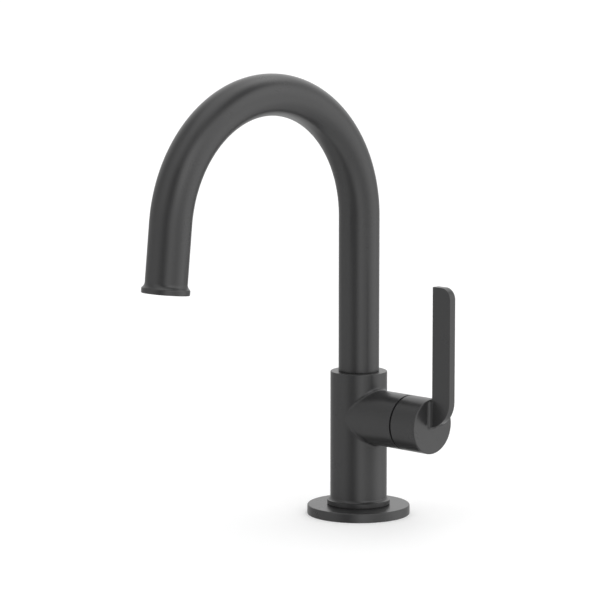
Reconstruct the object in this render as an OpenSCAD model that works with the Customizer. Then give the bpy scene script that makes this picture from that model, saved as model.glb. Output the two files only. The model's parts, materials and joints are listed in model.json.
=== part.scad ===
// Deck-mounted filter tap: round base, upright body with a side valve and a
// blade lever, and a swivelling gooseneck spout with an aerator. Millimetres.
// Origin: centre of the underside on the deck. +Z up the body's axis, the
// valve and lever towards +X, the spout towards -Y.

/* [Base] */
// Diameter of the round base flange
flange_d = 63.4; // [56:0.2:80]
// Thickness of the base flange
flange_h = 5.8; // [4:0.1:8]
// Round on the upper edge of the flange
flange_edge = 0.8; // [0.3:0.1:1.5]
// Diameter of the body's spigot in the middle of the flange
spigot_d = 30.0; // [28:0.2:31]
// Thickness of the rubber gasket let into the underside of the flange
gasket_h = 1.5; // [1:0.1:2.5]
// Width of the rubber gasket ring
gasket_w = 5.0; // [3:0.2:7]
// Metal left between the gasket's recess and the rim of the flange
gasket_rim = 4.7; // [3:0.1:6]
// Thickness of the seal between the flange and the foot of the body
foot_seal_h = 0.5; // [0.3:0.1:1]

/* [Body] */
// Diameter of the upright body
body_d = 35.0; // [33:0.2:40]
// Height of the body's top face above the valve's axis
body_rise = 27.2; // [26:0.2:45]
// Round on the body's upper edge
body_edge = 0.6; // [0.2:0.1:1.2]
// How far the foot ring stands out from the body
foot_step = 1.9; // [0.6:0.1:4]
// Height of the foot ring's upright side
foot_ring_h = 2.7; // [1.5:0.1:6]

/* [Water ways in the body] */
// Diameter of the threaded inlet hole in the underside
inlet_thread_d = 10.0; // [8:0.5:11]
// Depth of the threaded inlet hole
inlet_thread_l = 12.0; // [8:0.5:16]
// Distance of the inlet hole from the body's axis, towards the valve
inlet_offset = 6.5; // [6:0.1:8]
// Diameter of the threaded hole for the mounting stud
stud_thread_d = 8.0; // [6:0.5:10]
// Depth of the threaded hole for the mounting stud
stud_thread_l = 14.0; // [10:0.5:20]
// Distance of the stud hole from the body's axis, away from the valve
stud_offset = 7.0; // [6:0.1:8.5]
// Diameter of the upright water way above the inlet hole
way_d = 8.0; // [6:0.2:9]
// Diameter of the port that leads from the valve to the spout
port_d = 4.0; // [3:0.1:4.6]

/* [Valve branch] */
// Height of the valve's axis above the deck
valve_z = 62.0; // [52:0.2:90]
// Diameter of the branch and of the handle's hub
branch_d = 33.8; // [32.6:0.2:38]
// Distance of the branch's end face from the body's axis
branch_reach = 41.5; // [40:0.2:50]
// Chamfer on the facing edges of the branch and the hub
gap_chamfer = 0.4; // [0.1:0.1:0.8]
// Width of the shadow gap between the branch and the hub
gap_w = 1.3; // [1:0.1:2.5]
// Diameter of the valve chamber
chamber_d = 24.0; // [23:0.2:25]
// Depth of the valve chamber behind the branch's end face
chamber_l = 28.0; // [27.6:0.1:29]

/* [Valve cartridge] */
// Diameter of the lock nut's thread
nut_thread_d = 28.0; // [27:0.2:29]
// Length of the lock nut's thread
nut_thread_l = 6.0; // [4:0.2:6.4]
// Width across the flats of the lock nut's head
nut_af = 23.6; // [20:0.2:24]
// Height of the lock nut's head
nut_head_h = 4.5; // [3:0.1:5.5]
// Width of the passage round the cartridge in its chamber
flow_gap = 1.5; // [1:0.1:1.8]
// Thickness of the cartridge's mounting flange
cartridge_flange_h = 2.0; // [1.5:0.1:2.5]
// Length of the thick collar behind the mounting flange
cartridge_collar_l = 5.5; // [4.5:0.1:6.5]
// Cord thickness of the cartridge's O-ring
cartridge_cord = 1.6; // [1.2:0.1:2]
// Diameter of the neck that passes through the lock nut
neck_d = 16.0; // [14:0.2:18]
// Height of the rubber seat between the chamber floor and the fixed disc
seat_h = 2.7; // [2:0.1:3.2]
// Inner diameter of the rubber seat
seat_d = 11.2; // [9.6:0.2:12]
// Diameter of the ceramic discs
disc_d = 17.4; // [15:0.2:17.8]
// Thickness of each ceramic disc
disc_h = 3.0; // [2.4:0.1:3.4]
// Angle that each port of the discs takes up
disc_port_angle = 76; // [50:1:84]

/* [Spindle] */
// Diameter of the spindle's journal
journal_d = 9.9; // [9:0.1:11]
// Thickness of the driving plate at the inner end of the spindle
driver_h = 2.5; // [1.8:0.1:3]
// Width of the tongue that turns the moving disc
tongue_w = 3.2; // [2.4:0.1:4]
// Depth of the tongue in the moving disc
tongue_h = 1.2; // [0.8:0.1:1.6]
// Cord thickness of the spindle's O-rings
spindle_cord = 1.3; // [1:0.1:1.6]
// Thickness of the glide washer and of the retaining clip
washer_h = 0.8; // [0.5:0.1:1.2]
// Diameter over the spindle's splines
spline_d = 8.0; // [7:0.1:8.6]
// Number of splines
spline_count = 20; // [12:1:24]

/* [Handle] */
// Length of the handle's round hub
hub_l = 19.0; // [17:0.2:26]
// Wall of the hub round the lock nut
hub_wall = 1.9; // [1.2:0.1:2.2]
// Round on the hub's outer end
hub_edge = 0.8; // [0.3:0.1:1.5]
// Height of the lever's top above the valve's axis
lever_h = 85.5; // [50:0.5:120]
// Width of the lever, along the valve's axis
lever_w = 14.1; // [10:0.1:20]
// Thickness of the lever
lever_t = 5.0; // [4:0.1:8]
// How far the lever stands off the hub's end face
lever_stand = 1.6; // [0.8:0.1:3]
// Radius of the lever's outer top corner
lever_corner_r = 7.0; // [2:0.5:9]
// Radius of the curve below the lever, from its outer side in to the hub
lever_root_r = 17.0; // [10.5:0.1:17.2]
// Diameter of the splined adapter inside the hub
adapter_d = 14.9; // [12.6:0.1:17]
// Thread diameter of the two grub screws
grub_d = 4.0; // [3:0.5:5]
// Length of the grub screw in the handle
handle_grub_l = 5.8; // [4:0.2:8]

/* [Spout swivel] */
// Diameter of the spout's socket in the top of the body
socket_d = 22.0; // [20:0.2:22.4]
// Bore through the spout's ferrule
ferrule_bore = 14.0; // [10:0.2:14.6]
// Cord thickness of the swivel's O-rings
swivel_cord = 2.0; // [1.4:0.1:2.2]
// Depth of the spout's lock screw below the body's top face
lock_drop = 3.6; // [3.2:0.1:4]
// Depth of the groove for the lock screw's point
lock_groove = 1.5; // [1:0.1:2]
// Diameter of the lock screw's point
lock_point_d = 2.2; // [1.6:0.1:2.4]
// Thickness of the glide ring under the spout
glide_h = 0.4; // [0.4:0.1:1.2]
// How far the ferrule reaches up inside the spout tube
ferrule_grip = 12.0; // [8:0.5:20]

/* [Spout] */
// Outer diameter of the spout tube
tube_d = 25.0; // [24:0.2:28]
// Wall of the spout tube
tube_wall = 1.2; // [0.8:0.1:1.6]
// Length of the straight riser
riser_l = 95.0; // [60:0.2:160]
// Radius of the gooseneck, to the middle of the tube
bend_r = 78.5; // [55:0.5:100]
// Angle through which the gooseneck bends
bend_angle = 173.9; // [120:0.1:180]
// Length of the straight end of the tube
end_l = 34.4; // [20:0.2:60]

/* [Outlet] */
// Diameter of the outlet's rim
rim_d = 28.5; // [27:0.1:32]
// Height of the flare between the tube and the rim
flare_h = 3.6; // [1.5:0.1:5]
// Height of the rim's upright band
band_h = 2.8; // [1.4:0.1:4]
// Round on the lower edge of the rim
rim_edge = 0.5; // [0.2:0.1:0.8]
// Diameter of the thread that holds the aerator
aerator_thread_d = 21.5; // [20.5:0.1:22]
// Length of the aerator's neck above its seal
aerator_neck_l = 5.0; // [3.5:0.1:6]
// Thickness of the aerator's flat seal
aerator_seal_h = 1.0; // [0.6:0.1:1.4]
// How far the aerator sits back from the rim
aerator_recess = 0.5; // [0.2:0.1:1]
// Diameter of each hole in the outlet screen
screen_hole_d = 1.7; // [1:0.1:1.9]

/* [Hidden] */
$fn = 96;

// Clearances: fixed fit, running fit and face to face gap across a joint
fit = 0.03;
run = 0.05;
eps = 0.5;

// Colours
satin_black = [0.20, 0.20, 0.21];
brass = [0.78, 0.63, 0.33];
steel = [0.72, 0.73, 0.75];
rubber_black = [0.08, 0.08, 0.08];
ceramic_white = [0.93, 0.92, 0.89];
plastic_white = [0.88, 0.88, 0.86];
plastic_black = [0.10, 0.10, 0.11];

// Base and body
body_r = body_d / 2;
foot_r = body_r + foot_step;
foot_z = flange_h + foot_seal_h;
cove_z = foot_z + foot_ring_h;
body_top = valve_z + body_rise;
gasket_r = flange_d / 2 - gasket_rim;
foot_seal_inset = 0.3;

// Valve chamber, measured along the valve's axis from the body's axis
branch_r = branch_d / 2;
chamber_r = chamber_d / 2;
chamber_x = branch_reach - chamber_l;
port_r = port_d / 2;
port_wall = 0.4;
port_z = valve_z + chamber_r - port_wall - port_r;
seat_r_out = chamber_r - port_wall - port_d - 0.2;
seat_bore_r = way_d / 2 - 0.4;

// Cartridge, in order from the chamber's floor outwards
disc_r = disc_d / 2;
fixed_x = chamber_x + seat_h;
moving_x = fixed_x + disc_h + run;
driver_x = moving_x + disc_h;
shoulder_x = driver_x + driver_h + washer_h + 2 * run;
rim_overlap = 0.6;
housing_r = chamber_r - flow_gap;
flange_x = branch_reach - nut_thread_l - cartridge_flange_h;
collar_x = flange_x - cartridge_collar_l;
nut_r = nut_thread_d / 2;
nut_top_x = branch_reach + nut_head_h;
neck_r = neck_d / 2;
neck_x = nut_top_x - 2 * washer_h - 0.4;
journal_r = journal_d / 2;
spline_depth = 0.4;
spline_r = spline_d / 2;
clip_x = neck_x + run;
clip_groove = 1.1;
journal_x = clip_x + washer_h + 0.4;

// Handle
hub_x = branch_reach + gap_w;
hub_end_x = hub_x + hub_l;
recess_r = branch_r - hub_wall;
recess_x = nut_top_x + 3;
adapter_x = nut_top_x + 1;
adapter_r = adapter_d / 2;
adapter_flat = adapter_r - 0.85;
adapter_end_x = hub_end_x - 4.2;
spindle_end_x = adapter_end_x - 0.6;
lever_x = hub_end_x + lever_stand;
lever_out_x = lever_x + lever_w;
lever_root_x = min(lever_out_x - lever_root_r, hub_end_x - 1);
handle_grub_x = (recess_x + adapter_end_x) / 2;
grub_r = grub_d / 2;
hex_af = grub_d / 2;

// Spout swivel, measured up the body's axis
socket_r = socket_d / 2;
socket_z = port_z - 0.8;
ferrule_z = socket_z + 3.4;
ring_r = socket_r - fit;
ring_groove_h = swivel_cord + 0.2;
ring_low_z = ferrule_z + 1.3 + ring_groove_h / 2;
ring_high_z = ring_low_z + ring_groove_h + 1.2;
lock_z = body_top - lock_drop;
lock_groove_r = socket_r - run - lock_groove;
lock_groove_h = lock_point_d + 0.2;
tube_z = body_top + run + glide_h;
tube_r = tube_d / 2;
tube_in_r = tube_r - tube_wall;
spring_z = tube_z + riser_l;
joint_gap = 0.02;
joint_l = 1;

// Outlet, measured along the flow from the end of the tube
rim_r = rim_d / 2;
rim_s = flare_h + band_h;
collar_spigot = 6;
aerator_r = aerator_thread_d / 2;
neck_out_r = aerator_r - 1.85;
neck_in_r = neck_out_r - 1;
seal_s = -0.4;
seal_end_s = seal_s + aerator_seal_h;
neck_s = seal_end_s - aerator_neck_l;
aerator_s = rim_s - aerator_recess;
screen_r = neck_in_r + 1.3;
screen_h = 1.1;
jet_disc_h = 1.5;

// Points of an arc of radius r round [x, y], from angle a0 to a1 in n steps
function arc(x, y, r, a0, a1, n = 8) =
    [for (i = [0 : n]) let (a = a0 + (a1 - a0) * i / n) [x + r * cos(a), y + r * sin(a)]];

// Outline of a splined shaft or hole; grow opens it for clearance
function splines(grow = 0) =
    let (tip = spline_r + grow, root = tip - spline_depth, step = 360 / spline_count)
    [for (i = [0 : spline_count - 1], p = [[0.12, root], [0.30, tip], [0.70, tip], [0.88, root]])
        [p[1] * cos((i + p[0]) * step), p[1] * sin((i + p[0]) * step)]];

// Places children on the valve's axis at distance x, with their +Z along +X
module along_valve(x) {
    translate([x, 0, valve_z]) rotate([0, 90, 0]) children();
}

// Places children at the end of the gooseneck's straight end, +Z along the flow
module at_outlet(s = 0) {
    translate([0, -bend_r, spring_z]) rotate([bend_angle, 0, 0]) translate([0, bend_r, end_l + s])
        children();
}

// Flat ring of outer radius r_out and inner radius r_in
module ring(r_out, r_in, h) {
    linear_extrude(h) difference() {
        circle(r_out);
        circle(r_in);
    }
}

// O-ring whose outer radius is r_out
module o_ring(r_out, cord) {
    rotate_extrude() translate([r_out - cord / 2, 0]) circle(cord / 2, $fn = 32);
}

// Grub screw of length l with its inner end at the origin and its socket at the top
module grub_screw(l) {
    socket_depth = l * 0.4;
    difference() {
        cylinder(r = grub_r - fit, h = l);
        translate([0, 0, l - socket_depth])
            cylinder(d = hex_af / cos(30), h = socket_depth + eps, $fn = 6);
    }
}

// Cross-section of the handle's adapter: a round with two flats
module adapter_section(grow = 0) {
    intersection() {
        circle(adapter_r + grow);
        square([2 * (adapter_flat + grow), 4 * adapter_r], center = true);
    }
}

// Two port openings of a ceramic disc, between radii r_in and r_out, centred on angle a
module disc_ports(r_in, r_out, a) {
    half = disc_port_angle / 2;
    far = 2 * disc_r;
    for (side = [a, a + 180]) rotate(side) intersection() {
        difference() {
            circle(r_out);
            circle(r_in);
        }
        polygon([[0, 0], [far * cos(half), -far * sin(half)], [far * cos(half), far * sin(half)]]);
    }
}

// Round base flange with the spigot's hole and a recess for the gasket
module base_flange() {
    color(satin_black) difference() {
        rotate_extrude() polygon(concat(
            [[spigot_d / 2 + fit, 0], [flange_d / 2, 0]],
            arc(flange_d / 2 - flange_edge, flange_h - flange_edge, flange_edge, 0, 90, 6),
            [[spigot_d / 2 + fit, flange_h]]
        ));
        translate([0, 0, -eps]) ring(gasket_r + fit, gasket_r - gasket_w - fit, gasket_h + eps);
    }
}

// Rubber gasket in the underside of the flange
module base_gasket() {
    color(rubber_black) ring(gasket_r, gasket_r - gasket_w, gasket_h);
}

// Thin seal between the flange and the foot of the body
module foot_seal() {
    color(rubber_black) translate([0, 0, flange_h])
        ring(foot_r - foot_seal_inset, spigot_d / 2 + fit, foot_seal_h);
}

// Outline of the upright body: spigot, foot ring, cove and shaft
function body_outline() = concat(
    [[0, 0], [spigot_d / 2, 0], [spigot_d / 2, foot_z], [foot_r, foot_z]],
    arc(foot_r, cove_z + foot_step, foot_step, 270, 180),
    arc(body_r - body_edge, body_top - body_edge, body_edge, 0, 90, 6),
    [[0, body_top]]
);

// Upright body with its side branch, before it is bored
module body_blank() {
    rotate_extrude() polygon(body_outline());
    along_valve(0) rotate_extrude() polygon([
        [0, 0], [branch_r, 0], [branch_r, branch_reach - gap_chamfer],
        [branch_r - gap_chamfer, branch_reach], [0, branch_reach]
    ]);
}

// Everything that is bored out of the body
module body_bores() {
    // Threaded holes in the underside
    translate([inlet_offset, 0, -eps]) cylinder(d = inlet_thread_d, h = inlet_thread_l + eps);
    translate([-stud_offset, 0, -eps]) cylinder(d = stud_thread_d, h = stud_thread_l + eps);
    // Water way up to the valve and its turn into the chamber's floor
    translate([inlet_offset, 0, inlet_thread_l - eps])
        cylinder(d = way_d, h = valve_z + seat_bore_r - inlet_thread_l + eps + 0.4);
    along_valve(inlet_offset) cylinder(r = seat_bore_r, h = chamber_x - inlet_offset + eps);
    // Chamber, and the lock nut's thread at its mouth
    along_valve(chamber_x) cylinder(r = chamber_r, h = chamber_l + eps);
    along_valve(flange_x) cylinder(r = nut_r, h = branch_reach - flange_x + eps);
    // Port from the chamber's floor to the floor of the spout's socket
    translate([socket_r / 2, 0, port_z]) rotate([0, 90, 0])
        cylinder(r = port_r, h = chamber_x - socket_r / 2 + eps);
    // Spout's socket and the hole of its lock screw
    translate([0, 0, socket_z]) cylinder(r = socket_r, h = body_top - socket_z + eps);
    translate([0, 0, lock_z]) rotate([-90, 0, 0]) cylinder(r = grub_r, h = body_r + eps);
}

// Upright body, bored for the water, the valve and the spout
module faucet_body() {
    color(satin_black) difference() {
        body_blank();
        body_bores();
    }
}

// Grub screw in the back of the body, its point in the ferrule's groove
module spout_lock_screw() {
    point_y = lock_groove_r + 0.15;
    body_y = socket_r + 0.3;
    color(steel) translate([0, 0, lock_z]) rotate([-90, 0, 0]) {
        translate([0, 0, body_y]) grub_screw(body_r - body_y - 0.3);
        translate([0, 0, point_y]) cylinder(d = lock_point_d, h = body_y - point_y);
    }
}

// Rubber seat round the water way in the chamber's floor
module seat_seal() {
    color(rubber_black) along_valve(chamber_x) ring(seat_r_out, seat_d / 2, seat_h);
}

// Fixed ceramic disc with two ports inside the rubber seat
module valve_disc_fixed() {
    color(ceramic_white) along_valve(fixed_x) linear_extrude(disc_h) difference() {
        circle(disc_r);
        disc_ports(1.8, seat_d / 2 - 0.2, 90);
    }
}

// Moving ceramic disc: two open notches, and a slot for the spindle's tongue
module valve_disc_moving() {
    color(ceramic_white) along_valve(moving_x) difference() {
        linear_extrude(disc_h) difference() {
            circle(disc_r - run);
            disc_ports(1.8, disc_r + eps, 0);
        }
        translate([-tongue_w / 2, -disc_r - eps, disc_h - tongue_h])
            cube([tongue_w, 2 * (disc_r + eps), tongue_h + eps]);
    }
}

// Brass cartridge housing: disc pocket, collar, mounting flange and neck
module valve_housing() {
    groove_r = chamber_r - fit - cartridge_cord;
    groove_h = cartridge_cord + 0.2;
    groove_x = collar_x + (cartridge_collar_l - groove_h) / 2;
    outline = [
        [journal_r + run, shoulder_x], [disc_r + fit, shoulder_x],
        [disc_r + fit, fixed_x - rim_overlap], [housing_r, fixed_x - rim_overlap],
        [housing_r, collar_x], [chamber_r - fit, collar_x],
        [chamber_r - fit, groove_x], [groove_r, groove_x],
        [groove_r, groove_x + groove_h], [chamber_r - fit, groove_x + groove_h],
        [chamber_r - fit, flange_x], [nut_r - 0.2, flange_x],
        [nut_r - 0.2, flange_x + cartridge_flange_h], [neck_r, flange_x + cartridge_flange_h],
        [neck_r, neck_x], [journal_r + run, neck_x]
    ];
    window = [disc_h, disc_r, 2 * chamber_d];
    color(brass) difference() {
        along_valve(0) rotate_extrude() polygon(outline);
        for (turn = [0, 90]) translate([moving_x + disc_h / 2, 0, valve_z])
            rotate([turn, 0, 0]) cube(window, center = true);
    }
}

// O-ring round the cartridge's collar
module housing_o_ring() {
    color(rubber_black) along_valve(collar_x + cartridge_collar_l / 2)
        o_ring(chamber_r - fit / 2, cartridge_cord);
}

// Hexagonal nut that holds the cartridge in the branch
module valve_lock_nut() {
    thread_x = flange_x + cartridge_flange_h;
    color(brass) difference() {
        union() {
            along_valve(thread_x) cylinder(r = nut_r - fit, h = branch_reach - thread_x);
            along_valve(branch_reach) cylinder(d = nut_af / cos(30), h = nut_head_h, $fn = 6);
        }
        along_valve(thread_x - eps) cylinder(r = neck_r + 0.1, h = nut_top_x - thread_x + 2 * eps);
    }
}

// Black ring in the bottom of the shadow gap between the branch and the hub
module trim_ring() {
    color(plastic_black) along_valve(branch_reach)
        ring(nut_r + 1.4, nut_r + 0.4, gap_w - 0.1);
}

// Thin washer that the driving plate turns against
module spindle_glide_washer() {
    color(plastic_white) along_valve(driver_x + driver_h + run)
        ring(disc_r - 0.4, journal_r + run, washer_h);
}

// Brass spindle: tongue, driving plate, journal with grooves, and splined end
module valve_spindle() {
    groove_r = journal_r - spindle_cord;
    groove_h = spindle_cord + 0.2;
    clip_r = journal_r - clip_groove;
    outline = concat(
        [[0, driver_x], [disc_r - 0.6, driver_x], [disc_r - 0.6, driver_x + driver_h],
            [journal_r, driver_x + driver_h]],
        [for (x = spindle_ring_places(), p = [[0, -1], [1, -1], [1, 1], [0, 1]])
            [journal_r - p[0] * (journal_r - groove_r), x + p[1] * groove_h / 2]],
        [[journal_r, clip_x - run], [clip_r, clip_x - run],
            [clip_r, clip_x + washer_h + run], [journal_r, clip_x + washer_h + run],
            [journal_r, journal_x], [0, journal_x]]
    );
    color(brass) union() {
        along_valve(0) rotate_extrude() polygon(outline);
        along_valve(journal_x - 0.1) linear_extrude(spindle_end_x - journal_x + 0.1) polygon(splines());
        along_valve(driver_x - tongue_h + run) translate([-tongue_w / 2 + run, 0.6 - disc_r, 0])
            cube([tongue_w - 2 * run, 2 * (disc_r - 1.2), tongue_h + 0.1]);
    }
}

// Places of the two O-rings along the spindle, inside the housing's bore
function spindle_ring_places() = [for (part = [1, 2])
    shoulder_x + (clip_x - shoulder_x) * part / 3];

// Two O-rings on the spindle
module spindle_o_rings() {
    color(rubber_black) for (x = spindle_ring_places())
        along_valve(x) o_ring(journal_r + run - fit, spindle_cord - run);
}

// Open retaining clip in the spindle's outer groove
module spindle_clip() {
    clip_r = journal_r - clip_groove + fit;
    color(steel) along_valve(clip_x) linear_extrude(washer_h) difference() {
        circle(neck_r - 1);
        circle(clip_r);
        translate([0, -clip_r * 0.8]) square([neck_d, clip_r * 1.6]);
    }
}

// Splined bush that carries the handle on the spindle
module handle_adapter() {
    color(brass) along_valve(adapter_x) linear_extrude(adapter_end_x - adapter_x - 0.1) difference() {
        adapter_section();
        polygon(splines(fit));
    }
}

// Outline of the lever seen along the deck: x from the body's axis, y from the valve's axis
function lever_outline() =
    let (dip = branch_r - sqrt(pow(branch_r, 2) - pow(lever_t / 2, 2)) + 0.02)
    concat(
        [[lever_root_x, branch_r - lever_root_r]],
        arc(lever_out_x - lever_root_r, branch_r, lever_root_r, 270, 360, 28),
        arc(lever_out_x - lever_corner_r, lever_h - lever_corner_r, lever_corner_r, 0, 90, 14),
        [[lever_x, lever_h]],
        arc(hub_end_x, branch_r + lever_stand, lever_stand, 0, -90, 6),
        [[hub_end_x - hub_edge, branch_r - dip], [lever_root_x, branch_r - dip - hub_edge]]
    );

// Fillet on one side of the lever's root, in a plan view: x from the body's axis, y across
function root_fillet() = concat(
    [[hub_end_x - 1, lever_t / 2 - 1], [hub_end_x - 1, lever_t / 2 + lever_stand]],
    arc(lever_x, lever_t / 2 + lever_stand, lever_stand, 180, 270, 6),
    [[lever_x, lever_t / 2 - 1]]
);

// Handle: round hub with an upright blade lever on its end face
module handle() {
    hub_outline = concat(
        [[0, 0], [branch_r - gap_chamfer, 0], [branch_r, gap_chamfer]],
        arc(branch_r - hub_edge, hub_l - hub_edge, hub_edge, 0, 90, 6),
        [[0, hub_l]]
    );
    color(satin_black) difference() {
        union() {
            along_valve(hub_x) rotate_extrude() polygon(hub_outline);
            translate([0, lever_t / 2, valve_z]) rotate([90, 0, 0])
                linear_extrude(lever_t) polygon(lever_outline());
            intersection() {
                translate([0, 0, valve_z + branch_r - lever_root_r]) linear_extrude(lever_root_r) {
                    polygon(root_fillet());
                    mirror([0, 1, 0]) polygon(root_fillet());
                }
                along_valve(hub_end_x - 2) cylinder(r = branch_r - hub_edge, h = lever_stand + 4);
            }
        }
        along_valve(hub_x - eps) cylinder(r = recess_r, h = recess_x - hub_x + eps);
        along_valve(recess_x - eps) linear_extrude(adapter_end_x - recess_x + eps) adapter_section(fit);
        translate([handle_grub_x, 0, valve_z]) rotate([180, 0, 0]) cylinder(r = grub_r, h = branch_r + eps);
    }
}

// Grub screw in the underside of the hub, bearing on the adapter's flat
module handle_set_screw() {
    color(steel) translate([handle_grub_x, 0, valve_z - adapter_flat - fit]) rotate([180, 0, 0])
        grub_screw(handle_grub_l);
}

// Brass ferrule: it turns in the body's socket and carries the spout tube
module spout_ferrule() {
    groove_r = ring_r - swivel_cord;
    spigot_r = socket_r - run;
    outline = concat(
        [[ferrule_bore / 2, ferrule_z], [spigot_r, ferrule_z]],
        [for (z = [ring_low_z, ring_high_z], p = [[0, -1], [1, -1], [1, 1], [0, 1]])
            [spigot_r - p[0] * (spigot_r - groove_r), z + p[1] * ring_groove_h / 2]],
        [[spigot_r, lock_z - lock_groove_h / 2], [lock_groove_r, lock_z - lock_groove_h / 2],
            [lock_groove_r, lock_z + lock_groove_h / 2], [spigot_r, lock_z + lock_groove_h / 2],
            [spigot_r, tube_z], [tube_in_r - fit, tube_z],
            [tube_in_r - fit, tube_z + ferrule_grip], [ferrule_bore / 2, tube_z + ferrule_grip]]
    );
    color(brass) rotate_extrude() polygon(outline);
}

// Two O-rings round the ferrule
module spout_o_rings() {
    color(rubber_black) for (z = [ring_low_z, ring_high_z])
        translate([0, 0, z]) o_ring(ring_r, swivel_cord);
}

// Glide ring between the body's top face and the spout tube
module spout_glide_ring() {
    color(plastic_black) translate([0, 0, body_top + run]) ring(tube_r - 0.1, socket_r, glide_h);
}

// Gooseneck tube: straight riser, bend and straight end
module spout_tube() {
    color(satin_black) union() {
        translate([0, 0, tube_z]) ring(tube_r, tube_in_r, riser_l);
        translate([0, -bend_r, spring_z]) rotate([90, 0, 90])
            rotate_extrude(angle = bend_angle) translate([bend_r, 0]) difference() {
                circle(tube_r);
                circle(tube_in_r);
            }
        // The straight end starts a hair past the bend, and a ring inside the wall joins the two,
        // so that no two curved faces lie along each other
        at_outlet(joint_gap - end_l) ring(tube_r, tube_in_r, end_l - joint_gap);
        at_outlet(-end_l - joint_l / 2)
            ring(tube_r - tube_wall / 4, tube_in_r + tube_wall / 4, joint_l);
    }
}

// Flared collar on the end of the tube, threaded inside for the aerator
module outlet_collar() {
    flare = [for (i = [0 : 8]) let (a = 90 * i / 8)
        [tube_r + (rim_r - tube_r) * (1 - cos(a)), flare_h * sin(a)]];
    outline = concat(
        [[neck_out_r + 0.1, -collar_spigot], [tube_in_r - fit, -collar_spigot], [tube_in_r - fit, 0]],
        flare,
        arc(rim_r - rim_edge, rim_s - rim_edge, rim_edge, 0, 90, 4),
        [[aerator_r, rim_s], [aerator_r, seal_s], [neck_out_r + 0.1, seal_s]]
    );
    color(satin_black) at_outlet() rotate_extrude() polygon(outline);
}

// Flat seal between the collar's step and the aerator
module aerator_seal() {
    color(rubber_black) at_outlet(seal_s) ring(aerator_r - 0.05, neck_out_r + fit, aerator_seal_h);
}

// Plastic aerator housing, with key notches in its outer rim
module aerator_housing() {
    thread_r = aerator_r - fit;
    screen_s = aerator_s - screen_h;
    notch = [2.4, 2 * thread_r + 1, 0.8 * screen_h];
    color(plastic_black) at_outlet() difference() {
        rotate_extrude() polygon([
            [neck_in_r, neck_s], [neck_out_r, neck_s], [neck_out_r, seal_end_s],
            [thread_r, seal_end_s], [thread_r, aerator_s],
            [screen_r + fit, aerator_s], [screen_r + fit, screen_s], [neck_in_r, screen_s]
        ]);
        for (turn = [0, 90]) rotate(turn)
            translate([0, 0, aerator_s]) cube(notch, center = true);
    }
}

// Disc of small holes at the top of the aerator
module aerator_jet_disc() {
    hole_r = 0.6;
    color(plastic_white) at_outlet(neck_s) linear_extrude(jet_disc_h) difference() {
        circle(neck_in_r - fit);
        for (i = [0 : 11]) rotate(i * 30) translate([neck_in_r * 0.65, 0]) circle(hole_r, $fn = 24);
    }
}

// Outlet screen: round holes on a triangular grid
module aerator_screen() {
    pitch = screen_hole_d + 0.6;
    rows = 3;
    color(plastic_black) at_outlet(aerator_s - screen_h) linear_extrude(screen_h) difference() {
        circle(screen_r);
        for (q = [-rows : rows], r = [max(-rows, -q - rows) : min(rows, -q + rows)])
            translate([pitch * (q + r / 2), pitch * r * sin(60)]) circle(d = screen_hole_d, $fn = 24);
    }
}

base_flange();
base_gasket();
foot_seal();
faucet_body();
spout_lock_screw();
seat_seal();
valve_disc_fixed();
valve_housing();
housing_o_ring();
valve_lock_nut();
trim_ring();
valve_disc_moving();
spindle_glide_washer();
valve_spindle();
spindle_o_rings();
spindle_clip();
handle_adapter();
handle();
handle_set_screw();
spout_ferrule();
spout_o_rings();
spout_glide_ring();
spout_tube();
outlet_collar();
aerator_seal();
aerator_housing();
aerator_jet_disc();
aerator_screen();
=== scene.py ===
"""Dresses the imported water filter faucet: smooth coated skins for the pieces that show, a finish
for every piece, and a plain studio seen from the photograph's angle. Sizes are in metres."""

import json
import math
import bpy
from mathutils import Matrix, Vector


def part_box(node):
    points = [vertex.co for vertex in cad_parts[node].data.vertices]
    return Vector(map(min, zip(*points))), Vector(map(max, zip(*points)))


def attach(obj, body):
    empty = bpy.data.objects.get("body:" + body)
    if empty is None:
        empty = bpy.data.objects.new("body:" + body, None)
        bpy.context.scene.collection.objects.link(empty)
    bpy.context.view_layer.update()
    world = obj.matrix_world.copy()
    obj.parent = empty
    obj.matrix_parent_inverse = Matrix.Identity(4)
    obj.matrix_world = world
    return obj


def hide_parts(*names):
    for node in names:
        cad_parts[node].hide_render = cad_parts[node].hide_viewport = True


bl_info = {
    "name": "Water Filter Faucet",
    "version": (1, 0, 0),
    "blender": (4, 5, 0),
    "location": "3D View > Sidebar > Faucet",
    "description": "Coated skins, finishes and studio for a deck-mounted water filter faucet",
    "category": "Object",
}

import bmesh
import bpy
from bpy.props import FloatProperty, FloatVectorProperty, PointerProperty
from mathutils import Matrix, Vector
from mathutils.geometry import delaunay_2d_cdt

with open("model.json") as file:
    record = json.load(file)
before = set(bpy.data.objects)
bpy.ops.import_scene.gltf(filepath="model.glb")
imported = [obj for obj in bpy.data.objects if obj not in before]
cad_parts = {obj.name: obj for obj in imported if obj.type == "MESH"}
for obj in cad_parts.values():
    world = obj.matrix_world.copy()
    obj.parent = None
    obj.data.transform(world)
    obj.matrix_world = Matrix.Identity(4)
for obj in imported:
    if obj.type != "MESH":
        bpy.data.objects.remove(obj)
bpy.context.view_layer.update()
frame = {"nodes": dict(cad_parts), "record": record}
NODES = frame["nodes"]

MM = 0.001
FULL_TURN = 2 * math.pi
QUARTER_TURN = FULL_TURN / 4
# Divisions of a full turn on the body, the hub and the tube. The saddle's edge has twice as many
TURNS = 96
# Divisions of a drilled face's quarter, and of the shaft or hub that it is cut from
HOLE_QUARTER = TURNS // 6
# Half the width of the strip of shaft or hub in which a small hole is drilled, as an angle
HOLE_STRIP = FULL_TURN / 12
# Divisions of a round edge, a fillet, a cove and the lever's corners
EDGE_STEPS = 6
FILLET_STEPS = 8
COVE_STEPS = 12
LEVER_STEPS = 24
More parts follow.
